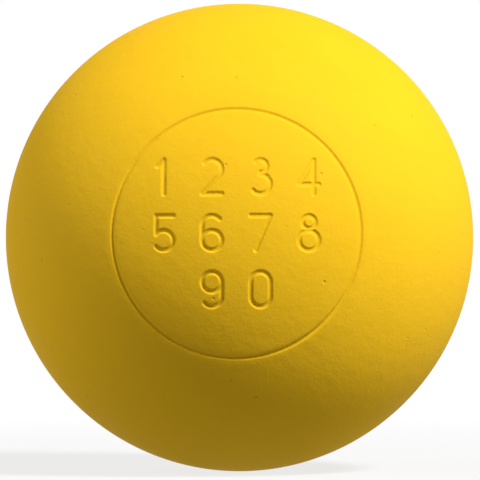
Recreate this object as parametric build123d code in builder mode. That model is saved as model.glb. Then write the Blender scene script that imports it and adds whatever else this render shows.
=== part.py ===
from build123d import *
from math import asin, cos, sin
import os

# Lacrosse ball of solid rubber: a core inside a cover that is moulded on in two halves.
# Millimetres, +Z up. The origin is the centre of the ball, and the seal with the numbers faces -Y.

# Ball
ball_diameter = 63.5
cover_wall = 6.0
parting_chamfer = 0.15

# Ring groove round the seal, cut with a round nose
ring_diameter = 32.0
ring_width = 0.6
ring_depth = 0.25
ring_shoulder = 0.15

# Numbers inside the ring, drawn with a round pen
number_rows = ("1234", "5678", "90")
row_pitch = 7.2
column_pitch = 6.2
digit_height = 4.4
digit_width = 2.5
open_bowl_angle = 140
mark_width = 0.55
mark_depth = 0.22

# Worked out from the sizes above
ball_radius = ball_diameter / 2
core_radius = ball_radius - cover_wall
ring_tilt = asin(ring_diameter / 2 / ball_radius)
ring_cutter_radius = ring_width**2 / (8 * ring_depth) + ring_depth / 2
ring_cutter_reach = ball_radius - ring_depth + ring_cutter_radius
ring_cutter_spot = (-ring_cutter_reach * cos(ring_tilt), ring_cutter_reach * sin(ring_tilt))


def draw_digit(digit):
    # Centre lines of one digit, in the open BuildLine, with the middle of its foot on the origin
    bowl = digit_width / 2
    waist = mark_width / 2
    small_bowl = (digit_height - waist) / 2 - bowl
    left, right, top = -bowl, bowl, digit_height
    low, high, small_high = (0, bowl), (0, top - bowl), (0, top - small_bowl)
    match digit:
        case "0":
            CenterArc(high, bowl, 0, 180)
            CenterArc(low, bowl, 180, 180)
            Line((left, bowl), (left, top - bowl))
            Line((right, bowl), (right, top - bowl))
        case "1":
            Polyline((-small_bowl, top - small_bowl), (0, top), (0, 0))
        case "2":
            crown = CenterArc(high, bowl, open_bowl_angle, -180)
            Polyline(crown @ 1, (left, 0), (right, 0))
        case "3":
            CenterArc(small_high, small_bowl, open_bowl_angle, -90 - open_bowl_angle)
            CenterArc(low, bowl, 90, -90 - open_bowl_angle)
        case "4":
            Polyline((right / 2, 0), (right / 2, top), (left, bowl), (right, bowl))
        case "5":
            belly = CenterArc(low, bowl, open_bowl_angle, -2 * open_bowl_angle)
            Polyline(belly @ 0, ((belly @ 0).X, top), (right, top))
        case "6":
            CenterArc(low, bowl, 0, 180)
            CenterArc(low, bowl, 180, 180)
            Line((left, bowl), (left, top - bowl))
            CenterArc(high, bowl, 180, -open_bowl_angle)
        case "7":
            Polyline((left, top), (right, top), (left / 2, 0))
        case "8":
            for start in (0, 180):
                CenterArc(low, bowl, start, 180)
                CenterArc(small_high, small_bowl, start, 180)
        case "9":
            CenterArc(high, bowl, 0, 180)
            CenterArc(high, bowl, 180, 180)
            Line((right, top - bowl), (right, bowl))
            CenterArc(low, bowl, 0, -open_bowl_angle)


def digit_face(digit):
    # The area that the round pen covers when it draws one digit
    with BuildLine() as pen:
        draw_digit(digit)
    with BuildSketch() as face:
        for stroke in pen.edges():
            trace(stroke, line_width=mark_width)
            with Locations(stroke @ 0, stroke @ 1):
                Circle(mark_width / 2)
    return face.sketch


def digit_spots():
    # Where the middle of each digit's foot stands on the seal, row by row from the top
    for row, digits in enumerate(number_rows):
        foot = ((len(number_rows) - 1) / 2 - row) * row_pitch - digit_height / 2
        for column, digit in enumerate(digits):
            yield digit, ((column - (len(digits) - 1) / 2) * column_pitch, foot)


# Core
with BuildPart() as core:
    Sphere(core_radius)
core.part.label = "core"

# Cutter for the numbers, which reaches the same depth below the ball's surface all over
with BuildPart() as number_cutter:
    with BuildSketch(Plane.XZ):
        for digit, spot in digit_spots():
            with Locations(spot):
                add(digit_face(digit))
    extrude(amount=ball_diameter)
    Sphere(ball_radius - mark_depth, mode=Mode.SUBTRACT)

# Front half of the cover, with the ring groove and the numbers
with BuildPart() as front_cover:
    with BuildSketch(Plane.YZ) as front_section:
        Circle(ball_radius)
        Circle(core_radius, mode=Mode.SUBTRACT)
        Rectangle(ball_radius, ball_radius, align=(Align.MAX, Align.MIN), mode=Mode.INTERSECT)
        rim = front_section.vertices().sort_by(Axis.Y)[-1]
        chamfer(rim, parting_chamfer)
        with Locations(ring_cutter_spot):
            Circle(ring_cutter_radius, mode=Mode.SUBTRACT)
        shoulders = front_section.vertices().sort_by_distance(ring_cutter_spot)[:2]
        fillet(shoulders, ring_shoulder)
    revolve(axis=Axis.Y)
    add(number_cutter.part, mode=Mode.SUBTRACT)
front_cover.part.label = "front_cover"

# Back half of the cover, plain
with BuildPart() as back_cover:
    with BuildSketch(Plane.YZ) as back_section:
        Circle(ball_radius)
        Circle(core_radius, mode=Mode.SUBTRACT)
        Rectangle(ball_radius, ball_radius, align=(Align.MIN, Align.MIN), mode=Mode.INTERSECT)
        rim = back_section.vertices().sort_by(Axis.Y)[-1]
        chamfer(rim, parting_chamfer)
    revolve(axis=Axis.Y)
back_cover.part.label = "back_cover"

os.makedirs("parts", exist_ok=True)
for piece in (core, front_cover, back_cover):
    export_step(piece.part, f"parts/{piece.part.label}.step")
    print(f"{piece.part.label}: {piece.part.volume / 1000:.2f} cm3")
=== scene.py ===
import math

import bmesh
import bpy
from mathutils import Matrix, Vector
from mathutils.kdtree import KDTree


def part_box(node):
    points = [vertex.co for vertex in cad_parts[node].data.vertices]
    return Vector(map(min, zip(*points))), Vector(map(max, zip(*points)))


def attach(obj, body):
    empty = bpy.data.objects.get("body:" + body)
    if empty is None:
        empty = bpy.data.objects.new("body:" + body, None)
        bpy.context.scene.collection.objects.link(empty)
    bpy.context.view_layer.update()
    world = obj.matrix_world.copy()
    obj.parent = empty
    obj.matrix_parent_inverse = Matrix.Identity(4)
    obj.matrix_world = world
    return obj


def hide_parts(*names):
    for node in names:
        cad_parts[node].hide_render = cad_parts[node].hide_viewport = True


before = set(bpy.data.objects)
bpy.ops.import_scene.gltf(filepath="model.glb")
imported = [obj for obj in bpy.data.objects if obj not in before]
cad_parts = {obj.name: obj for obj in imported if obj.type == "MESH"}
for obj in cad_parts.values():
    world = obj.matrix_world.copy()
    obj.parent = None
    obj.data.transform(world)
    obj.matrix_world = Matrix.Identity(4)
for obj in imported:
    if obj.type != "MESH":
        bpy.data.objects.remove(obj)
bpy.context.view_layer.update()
print("frame loaded:", ", ".join(sorted(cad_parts)))

mm = 0.001
ballRadius = -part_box("front_cover")[0].y
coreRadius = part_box("core")[1].z


def softGroove(distance, flat, reach):
    # 1 on the floor of an engraved line, 0 beside it, rounded at the foot and the shoulder
    share = min(max((distance - flat) / (reach - flat), 0), 1)
    return 1 - share * share * (3 - 2 * share)


def steps(start, end, count):
    # evenly spaced values, with both ends
    return [start + (end - start) * i / count for i in range(count + 1)]


# numbers on the seal, drawn with a round pen
numbers = {
    "rows": ("1234", "5678", "90"),
    "rowPitch": 7.2 * mm,
    "columnPitch": 6.2 * mm,
    "height": 4.4 * mm,
    "width": 2.5 * mm,
    "markWidth": 0.55 * mm,
    "openAngle": 140,  # degrees, where an open bowl begins
    "depth": 0.22 * mm,
    "flat": 0.10 * mm,  # half width of the floor
    "reach": 0.40 * mm,  # half width at the surface
    "penStep": 0.03 * mm,
}


def penLine(*corners):
    points = []
    for a, b in zip(corners, corners[1:]):
        count = math.ceil((b - a).length / numbers["penStep"])
        points += [a.lerp(b, share) for share in steps(0, 1, count)]
    return points


def penArc(centre, radius, start, sweep):
    count = math.ceil(radius * math.radians(abs(sweep)) / numbers["penStep"])
    turns = [math.radians(angle) for angle in steps(start, start + sweep, count)]
    return [centre + radius * Vector((math.cos(t), math.sin(t))) for t in turns]


def digitPen(digit):
    # pen points of one digit, with the middle of its foot at the origin
    bowl = numbers["width"] / 2
    top = numbers["height"]
    smallBowl = (top - numbers["markWidth"] / 2) / 2 - bowl
    opening = numbers["openAngle"]
    low, high = Vector((0, bowl)), Vector((0, top - bowl))
    smallHigh = Vector((0, top - smallBowl))

    def at(x, y):
        return Vector((x, y))

    if digit == "1":
        return penLine(at(-smallBowl, top - smallBowl), at(0, top), at(0, 0))
    if digit == "2":
        crown = penArc(high, bowl, opening, -180)
        return crown + penLine(crown[-1], at(-bowl, 0), at(bowl, 0))
    if digit == "3":
        sweep = -90 - opening
        return penArc(smallHigh, smallBowl, opening, sweep) + penArc(low, bowl, 90, sweep)
    if digit == "4":
        return penLine(at(bowl / 2, 0), at(bowl / 2, top), at(-bowl, bowl), at(bowl, bowl))
    if digit == "5":
        belly = penArc(low, bowl, opening, -2 * opening)
        return belly + penLine(belly[0], at(belly[0].x, top), at(bowl, top))
    if digit == "6":
        stem = penLine(at(-bowl, bowl), at(-bowl, top - bowl))
        return penArc(low, bowl, 0, 360) + stem + penArc(high, bowl, 180, -opening)
    if digit == "7":
        return penLine(at(-bowl, top), at(bowl, top), at(-bowl / 2, 0))
    if digit == "8":
        return penArc(low, bowl, 0, 360) + penArc(smallHigh, smallBowl, 0, 360)
    if digit == "9":
        stem = penLine(at(bowl, bowl), at(bowl, top - bowl))
        return penArc(high, bowl, 0, 360) + stem + penArc(low, bowl, 0, -opening)
    sides = [penLine(at(x, bowl), at(x, top - bowl)) for x in (-bowl, bowl)]
    return sides[0] + sides[1] + penArc(high, bowl, 0, 180) + penArc(low, bowl, 180, 180)


def numberPen():
    # every pen point of the seal, on the flat X Z plane
    points = []
    middleRow = (len(numbers["rows"]) - 1) / 2
    for row, digits in enumerate(numbers["rows"]):
        foot = (middleRow - row) * numbers["rowPitch"] - numbers["height"] / 2
        middleColumn = (len(digits) - 1) / 2
        for column, digit in enumerate(digits):
            spot = Vector(((column - middleColumn) * numbers["columnPitch"], foot))
            points += [spot + p for p in digitPen(digit)]
    pen = KDTree(len(points))
    for i, p in enumerate(points):
        pen.insert((p.x, 0, p.y), i)
    pen.balance()
    return pen


# halves of the cover, each a closed cup turned about Y
cover = {
    "turns": 384,  # a multiple of 4, as the seal's grid has a quarter of it on each side
    "outerStep": 1.5,  # degrees between the rings of the plain outside
    "innerRings": 24,
    "wallRings": 4,
    "partingDepth": 0.12 * mm,
    "partingFlat": 0.03 * mm,
    "partingReach": 0.30 * mm,
    "partingRings": 8,
    "mergeReach": 0.002 * mm,
    "sharpAngle": 60,  # degrees, edges that stay crisp
}

# seal on the front half, the round field of numbers with an engraved ring about it
seal = {
    "radius": 15.2 * mm,  # edge of the grid that carries the numbers
    "ringRadius": 16.0 * mm,
    "ringDepth": 0.22 * mm,
    "ringFlat": 0.05 * mm,
    "ringReach": 0.41 * mm,
    "ringRings": 20,
    "finer": 2,  # times that the grid is halved beside the pen
}


def wallProfile(side, outside):
    # outside of the cup, then its parting face and its inside down to the pole, in the X Y plane
    def at(tilt, radius):
        return Vector((radius * math.sin(tilt), side * radius * math.cos(tilt), 0))

    rim = math.pi / 2
    reach = cover["partingReach"] / ballRadius
    count = math.ceil((rim - reach - outside[-1][0]) / math.radians(cover["outerStep"]))
    outside = outside + [(tilt, 0) for tilt in steps(outside[-1][0], rim - reach, count)[1:]]
    for tilt in steps(rim - reach, rim, cover["partingRings"])[1:]:
        away = (rim - tilt) * ballRadius
        share = softGroove(away, cover["partingFlat"], cover["partingReach"])
        outside.append((tilt, cover["partingDepth"] * share))
    profile = [at(tilt, ballRadius - depth) for tilt, depth in outside]
    wall = steps(ballRadius - cover["partingDepth"], coreRadius, cover["wallRings"])
    profile += [at(rim, radius) for radius in wall[1:]]
    profile += [at(tilt, coreRadius) for tilt in steps(rim, 0, cover["innerRings"])[1:]]
    return profile


def spinProfile(bm, profile):
    # a quarter turn is spun, and three more are turned copies of it
    verts = [bm.verts.new(p) for p in profile]
    edges = [bm.edges.new(pair) for pair in zip(verts, verts[1:])]
    before = set(bm.faces)
    bmesh.ops.spin(
        bm, geom=verts + edges, cent=(0, 0, 0), axis=(0, 1, 0),
        angle=math.tau / 4, steps=cover["turns"] // 4,
    )
    quarter = [face for face in bm.faces if face not in before]
    for turn in (1, 2, 3):
        copied = bmesh.ops.duplicate(bm, geom=quarter)["geom"]
        copiedVerts = [item for item in copied if isinstance(item, bmesh.types.BMVert)]
        turned = Matrix.Rotation(turn * math.tau / 4, 3, "Y")
        bmesh.ops.rotate(bm, verts=copiedVerts, cent=(0, 0, 0), matrix=turned)


def discPoint(a, b):
    # a square's point moved to the disc, square rings becoming evenly divided circles
    if a == 0 and b == 0:
        return Vector((0, 0, 0))
    if abs(a) > abs(b):
        radius, turn = a, math.pi / 4 * b / a
    else:
        radius, turn = b, math.pi / 2 - math.pi / 4 * a / b
    return seal["radius"] * radius * Vector((math.cos(turn), 0, math.sin(turn)))


def makeSealGrid(bm, pen):
    # a grid laid on the ball and pressed in where the pen went
    side = cover["turns"] // 4
    bmesh.ops.create_grid(bm, x_segments=side, y_segments=side, size=1)
    for v in bm.verts:
        v.co = discPoint(v.co.x, v.co.y)
    for level in range(seal["finer"]):
        near = set()
        for face in bm.faces:
            size = math.sqrt(face.calc_area())
            if pen.find(face.calc_center_median())[2] < numbers["reach"] + size:
                near.update(face.edges)
        edges = [edge for edge in bm.edges if edge in near]
        bmesh.ops.subdivide_edges(
            bm, edges=edges, cuts=1, use_grid_fill=True, use_single_edge=True,
        )
    for v in bm.verts:
        depth = numbers["depth"] * softGroove(pen.find(v.co)[2], numbers["flat"], numbers["reach"])
        v.co.y = -math.sqrt(ballRadius**2 - v.co.length_squared)
        v.co *= 1 - depth / ballRadius


def finishPiece(bm, name, node):
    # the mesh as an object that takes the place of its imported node
    openEdges = sum(not e.is_manifold for e in bm.edges)
    mesh = bpy.data.meshes.new(name)
    bm.to_mesh(mesh)
    bm.free()
    mesh.shade_smooth()
    mesh.set_sharp_from_angle(angle=math.radians(cover["sharpAngle"]))
    piece = bpy.data.objects.new(name, mesh)
    bpy.context.scene.collection.objects.link(piece)
    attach(piece, "root")
    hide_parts(node)
    print(name, len(mesh.polygons), "faces,", openEdges, "open edges")
    return piece


def sortParts(parts, place):
    # spin leaves its parts in any order, and sorted ones merge alike in every run
    rank = {part: i for i, part in enumerate(sorted(parts, key=place))}
    parts.sort(key=rank.get)


def finishCover(bm, name, node):
    sortParts(bm.verts, lambda v: v.co[:])
    bmesh.ops.remove_doubles(bm, verts=bm.verts, dist=cover["mergeReach"])
    sortParts(bm.faces, lambda face: face.calc_center_median()[:])
    bmesh.ops.recalc_face_normals(bm, faces=bm.faces)
    # depth of each point below the outside, which darkens the grooves as painted shade
    engraved = bm.verts.layers.float.new("engraved")
    for v in bm.verts:
        depth = ballRadius - v.co.length
        outer = depth < 2 * seal["ringDepth"]  # the wall and the inside lie deeper
        v[engraved] = depth / seal["ringDepth"] if outer else 0
    return finishPiece(bm, name, node)


def makeFrontCover():
    bm = bmesh.new()
    makeSealGrid(bm, numberPen())
    edge = math.asin(seal["radius"] / ballRadius)
    ring = math.asin(seal["ringRadius"] / ballRadius)
    reach = seal["ringReach"] / ballRadius
    outside = [(edge, 0)]
    for tilt in steps(ring - reach, ring + reach, seal["ringRings"]):
        away = abs(tilt - ring) * ballRadius
        share = softGroove(away, seal["ringFlat"], seal["ringReach"])
        outside.append((tilt, seal["ringDepth"] * share))
    spinProfile(bm, wallProfile(-1, outside))
    return finishCover(bm, "front_cover_rubber", "front_cover")


def makeBackCover():
    bm = bmesh.new()
    spinProfile(bm, wallProfile(1, [(0, 0)]))
    return finishCover(bm, "back_cover_rubber", "back_cover")


# core, a plain ball that fills the cover
coreBall = {
    "levels": 6,  # each has four times the faces of the one before
}


def makeCore():
    bm = bmesh.new()
    bmesh.ops.create_icosphere(bm, subdivisions=coreBall["levels"], radius=coreRadius)
    return finishPiece(bm, "core_ball", "core")


frontCover = makeFrontCover()
backCover = makeBackCover()
core = makeCore()


def addNode(tree, kind, values, **settings):
    # a node whose inputs are set to numbers, or linked to what other nodes give
    node = tree.nodes.new("ShaderNode" + kind)
    for name, value in settings.items():
        setattr(node, name, value)
    for name, value in values.items():
        if isinstance(value, bpy.types.NodeSocket):
            tree.links.new(value, node.inputs[name])
        else:
            node.inputs[name].default_value = value
    return node


def addPlace(tree):
    # where the surface lies on the ball, in millimetres
    place = addNode(tree, "TexCoord", {}).outputs["Object"]
    values = {0: place, 1: (1 / mm, 1 / mm, 1 / mm)}
    return addNode(tree, "VectorMath", values, operation="MULTIPLY").outputs["Vector"]


def addNoise(tree, place, size, detail):
    values = {"Vector": place, "Scale": mm / size, "Detail": detail}
    return addNode(tree, "TexNoise", values).outputs["Fac"]


def addRange(tree, value, low, high, atLow, atHigh):
    values = {"Value": value, "From Min": low, "From Max": high, "To Min": atLow, "To Max": atHigh}
    return addNode(tree, "MapRange", values, interpolation_type="SMOOTHSTEP").outputs["Result"]


def addBlend(tree, share, first, second):
    # sockets 6, 7 and 2 of a mix are those for colours
    return addNode(tree, "Mix", {0: share, 6: first, 7: second}, data_type="RGBA").outputs[2]


def addMath(tree, operation, first, second=0):
    return addNode(tree, "Math", {0: first, 1: second}, operation=operation).outputs["Value"]


def addProduct(tree, first, second):
    return addMath(tree, "MULTIPLY", first, second)


def addBump(tree, height, distance, under=None):
    values = {"Height": height, "Distance": distance}
    if under:
        values["Normal"] = under
    return addNode(tree, "Bump", values).outputs["Normal"]


# yellow rubber of the cover, matt from the mould
coverFinish = {
    "color": (0.872, 0.513, 0.012, 1),
    "deepColor": (0.858, 0.501, 0.011, 1),  # where the dye lies thicker
    "recessShadeColor": (0.74, 0.50, 0.008, 1),  # painted shade in the grooves and the join's notch, stronger where they are deeper
    "recessShadeShare": 0.3,
    # painted shade inside the small dents
    "pitShadeColor": (0.42, 0.20, 0.002, 1),
    "pitShadeShare": 0.28,
    "specular": 0.06,
    "smooth": 0.66,
    "rough": 0.78,
    "buffedRough": 0.12,  # added where the join was ground
    "mottleSize": 6 * mm,
    "mottleDetail": 4,
    "mottleColorRange": (0.35, 0.65),
    "mottleRoughRange": (0.3, 0.7),
    "grainSize": 0.4 * mm,
    "grainDetail": 2,
    "grainHeight": 0.035 * mm,
    "peelSize": 1.8 * mm,
    "peelDetail": 1,
    "peelHeight": 0.055 * mm,
    "pitSpacing": 4.4 * mm,
    "pitRadius": 0.30 * mm,
    "pitDepth": 0.10 * mm,
    "buffedFrom": 0.7 * mm,  # band along the join where the flash was ground off
    "buffedTo": 1.8 * mm,
    "buffedLine": 0.12 * mm,
    "buffedDetail": 2,
    "buffedStretch": 50,  # length of a line over its width
    "buffedHeight": 0.030 * mm,
}


def makeCoverRubber():
    look = coverFinish
    material = bpy.data.materials.new("cover_rubber")
    material.use_nodes = True
    tree = material.node_tree
    shader = tree.nodes["Principled BSDF"]
    place = addPlace(tree)
    mottle = addNoise(tree, place, look["mottleSize"], look["mottleDetail"])
    grain = addNoise(tree, place, look["grainSize"], look["grainDetail"])
    peel = addNoise(tree, place, look["peelSize"], look["peelDetail"])

    pits = addNode(tree, "TexVoronoi", {"Vector": place, "Scale": mm / look["pitSpacing"]})
    pit = addRange(tree, pits.outputs["Distance"], 0, look["pitRadius"] / look["pitSpacing"], 1, 0)
    recess = addNode(tree, "Attribute", {}, attribute_name="engraved").outputs["Fac"]

    # ground band, its lines running along the join
    across = addMath(tree, "ABSOLUTE", addNode(tree, "SeparateXYZ", {0: place}).outputs["Y"])
    buffed = addRange(tree, across, look["buffedFrom"] / mm, look["buffedTo"] / mm, 1, 0)
    along = 1 / look["buffedStretch"]
    stretched = addNode(tree, "Mapping", {"Vector": place, "Scale": (along, 1, along)})
    lines = addNoise(tree, stretched.outputs["Vector"], look["buffedLine"], look["buffedDetail"])

    dye = addRange(tree, mottle, *look["mottleColorRange"], 0, 1)
    color = addBlend(tree, dye, look["deepColor"], look["color"])
    # painted shade: the grooves and the join's notch are darkened by their depth
    paintedRecessShade = addProduct(tree, recess, look["recessShadeShare"])
    color = addBlend(tree, paintedRecessShade, color, look["recessShadeColor"])
    # painted shade inside each small dent, added to the dent's bump below
    color = addBlend(tree, addProduct(tree, pit, look["pitShadeShare"]), color, look["pitShadeColor"])
    tree.links.new(color, shader.inputs["Base Color"])

    roughness = addRange(tree, mottle, *look["mottleRoughRange"], look["smooth"], look["rough"])
    roughness = addMath(tree, "ADD", addProduct(tree, buffed, look["buffedRough"]), roughness)
    tree.links.new(roughness, shader.inputs["Roughness"])
    shader.inputs["Specular IOR Level"].default_value = look["specular"]

    normal = addBump(tree, peel, look["peelHeight"])
    normal = addBump(tree, grain, look["grainHeight"], normal)
    normal = addBump(tree, addProduct(tree, lines, buffed), look["buffedHeight"], normal)
    normal = addBump(tree, addProduct(tree, pit, -1), look["pitDepth"], normal)
    tree.links.new(normal, shader.inputs["Normal"])
    return material


# undyed rubber of the core, ground so that the cover bonds to it
coreFinish = {
    "color": (0.22, 0.115, 0.035, 1),
    "paleColor": (0.30, 0.17, 0.06, 1),
    "crumbSize": 0.9 * mm,
    "crumbDetail": 5,
    "crumbColorRange": (0.35, 0.7),
    "crumbRoughRange": (0.3, 0.7),
    "crumbHeight": 0.08 * mm,
    "smooth": 0.75,
    "rough": 0.9,
}


def makeCoreRubber():
    look = coreFinish
    material = bpy.data.materials.new("core_rubber")
    material.use_nodes = True
    tree = material.node_tree
    shader = tree.nodes["Principled BSDF"]
    place = addPlace(tree)
    crumb = addNoise(tree, place, look["crumbSize"], look["crumbDetail"])
    pale = addRange(tree, crumb, *look["crumbColorRange"], 0, 1)
    color = addBlend(tree, pale, look["color"], look["paleColor"])
    roughness = addRange(tree, crumb, *look["crumbRoughRange"], look["rough"], look["smooth"])
    tree.links.new(color, shader.inputs["Base Color"])
    tree.links.new(roughness, shader.inputs["Roughness"])
    tree.links.new(addBump(tree, crumb, look["crumbHeight"]), shader.inputs["Normal"])
    return material


coverRubber = makeCoverRubber()
for piece in (frontCover, backCover):
    piece.data.materials.append(coverRubber)
core.data.materials.append(makeCoreRubber())
print("rubber made")


# studio: a floor and a world that are white to the eye, three soft lamps and a camera
studio = {
    "floorSize": 3.0,
    "floorBounce": 0.345,  # light that the floor gives back to the ball
    "shadowGrey": 0.66,  # paper that the lamps bring to white
    "shadowShare": 0.22,  # how much of the shadow shows under the ball
    "shadowReach": 0.25,  # metres from the ball at which it is gone
    "ambient": 0.01,
    "lampDistance": 1.0,
    "lamps": {  # azimuth and elevation in degrees, size in metres, brightness on a facing surface
        "key": (45, 44, 0.30, 1.38),
        "fill": (-85, 27, 0.82, 0.50),
        "side": (106, 9, 0.36, 0.26),
    },
    "lens": 270,
    "sensor": 36,
    "clipStart": 10 * mm,
    "cameraDistance": 490 * mm,
    "cameraAzimuth": 0.77,
    "cameraElevation": -1.08,
    "aim": Vector((0.07, 0, -0.34)) * mm,
}


def wayTo(azimuth, elevation):
    # azimuth 0 is the side with the seal, 90 the right of it
    a, e = math.radians(azimuth), math.radians(elevation)
    return Vector((math.sin(a) * math.cos(e), -math.cos(a) * math.cos(e), math.sin(e)))


def seenDirectly(tree):
    # 1 for what the eye sees, straight on or in gloss and glass, and 0 for scattered light
    path = addNode(tree, "LightPath", {}).outputs
    seen = addMath(tree, "MAXIMUM", path["Is Camera Ray"], path["Is Glossy Ray"])
    return addMath(tree, "MAXIMUM", seen, path["Is Transmission Ray"])


def addChoice(tree, share, first, second):
    # the first shader where the share is 0, the second where it is 1
    return addNode(tree, "MixShader", {0: share, 1: first, 2: second}).outputs["Shader"]


def makeFloorFinish():
    material = bpy.data.materials.new("floor_paper")
    material.use_nodes = True
    tree = material.node_tree
    tree.nodes.remove(tree.nodes["Principled BSDF"])
    bounce = addNode(tree, "Emission", {"Strength": studio["floorBounce"]}).outputs["Emission"]
    white = addNode(tree, "Emission", {"Strength": 1}).outputs["Emission"]
    grey = studio["shadowGrey"]
    paper = addNode(tree, "BsdfDiffuse", {"Color": (grey, grey, grey, 1)}).outputs["BSDF"]
    place = addNode(tree, "TexCoord", {}).outputs["Object"]
    away = addNode(tree, "VectorMath", {0: place}, operation="LENGTH").outputs["Value"]
    share = addRange(tree, away, ballRadius, studio["shadowReach"], studio["shadowShare"], 0)
    shown = addChoice(tree, share, white, paper)
    picked = addChoice(tree, seenDirectly(tree), bounce, shown)
    tree.links.new(picked, tree.nodes["Material Output"].inputs["Surface"])
    return material


def makeFloor():
    bm = bmesh.new()
    bmesh.ops.create_grid(bm, x_segments=1, y_segments=1, size=studio["floorSize"])
    bmesh.ops.translate(bm, verts=bm.verts, vec=(0, 0, -ballRadius))
    mesh = bpy.data.meshes.new("floor")
    bm.to_mesh(mesh)
    bm.free()
    mesh.materials.append(makeFloorFinish())
    floor = bpy.data.objects.new("floor", mesh)
    bpy.context.scene.collection.objects.link(floor)


def makeWorld():
    world = bpy.data.worlds.new("studio")
    world.use_nodes = True
    tree = world.node_tree
    dim = tree.nodes["Background"]
    dim.inputs["Color"].default_value = (1, 1, 1, 1)
    dim.inputs["Strength"].default_value = studio["ambient"]
    white = addNode(tree, "Background", {"Color": (1, 1, 1, 1), "Strength": 1})
    picked = addChoice(
        tree, seenDirectly(tree), dim.outputs["Background"], white.outputs["Background"],
    )
    tree.links.new(picked, tree.nodes["World Output"].inputs["Surface"])
    bpy.context.scene.world = world


def makeLamp(name, azimuth, elevation, size, brightness):
    data = bpy.data.lights.new(name, "AREA")
    data.shape = "DISK"
    data.size = size
    # watts at which a white surface that faces the lamp renders at that brightness
    data.energy = brightness * (math.pi * studio["lampDistance"]) ** 2
    lamp = bpy.data.objects.new(name, data)
    lamp.location = studio["lampDistance"] * wayTo(azimuth, elevation)
    lamp.rotation_euler = (-lamp.location).to_track_quat("-Z", "Y").to_euler()
    bpy.context.scene.collection.objects.link(lamp)


def makeCamera():
    data = bpy.data.cameras.new("camera")
    data.lens = studio["lens"]
    data.sensor_width = studio["sensor"]
    data.clip_start = studio["clipStart"]
    camera = bpy.data.objects.new("camera", data)
    way = wayTo(studio["cameraAzimuth"], studio["cameraElevation"])
    camera.location = studio["cameraDistance"] * way
    camera.rotation_euler = (studio["aim"] - camera.location).to_track_quat("-Z", "Y").to_euler()
    bpy.context.scene.collection.objects.link(camera)
    bpy.context.scene.camera = camera


makeFloor()
makeWorld()
for name, lamp in studio["lamps"].items():
    makeLamp(name, *lamp)
makeCamera()
bpy.context.scene.view_settings.view_transform = "Standard"
print("studio set")
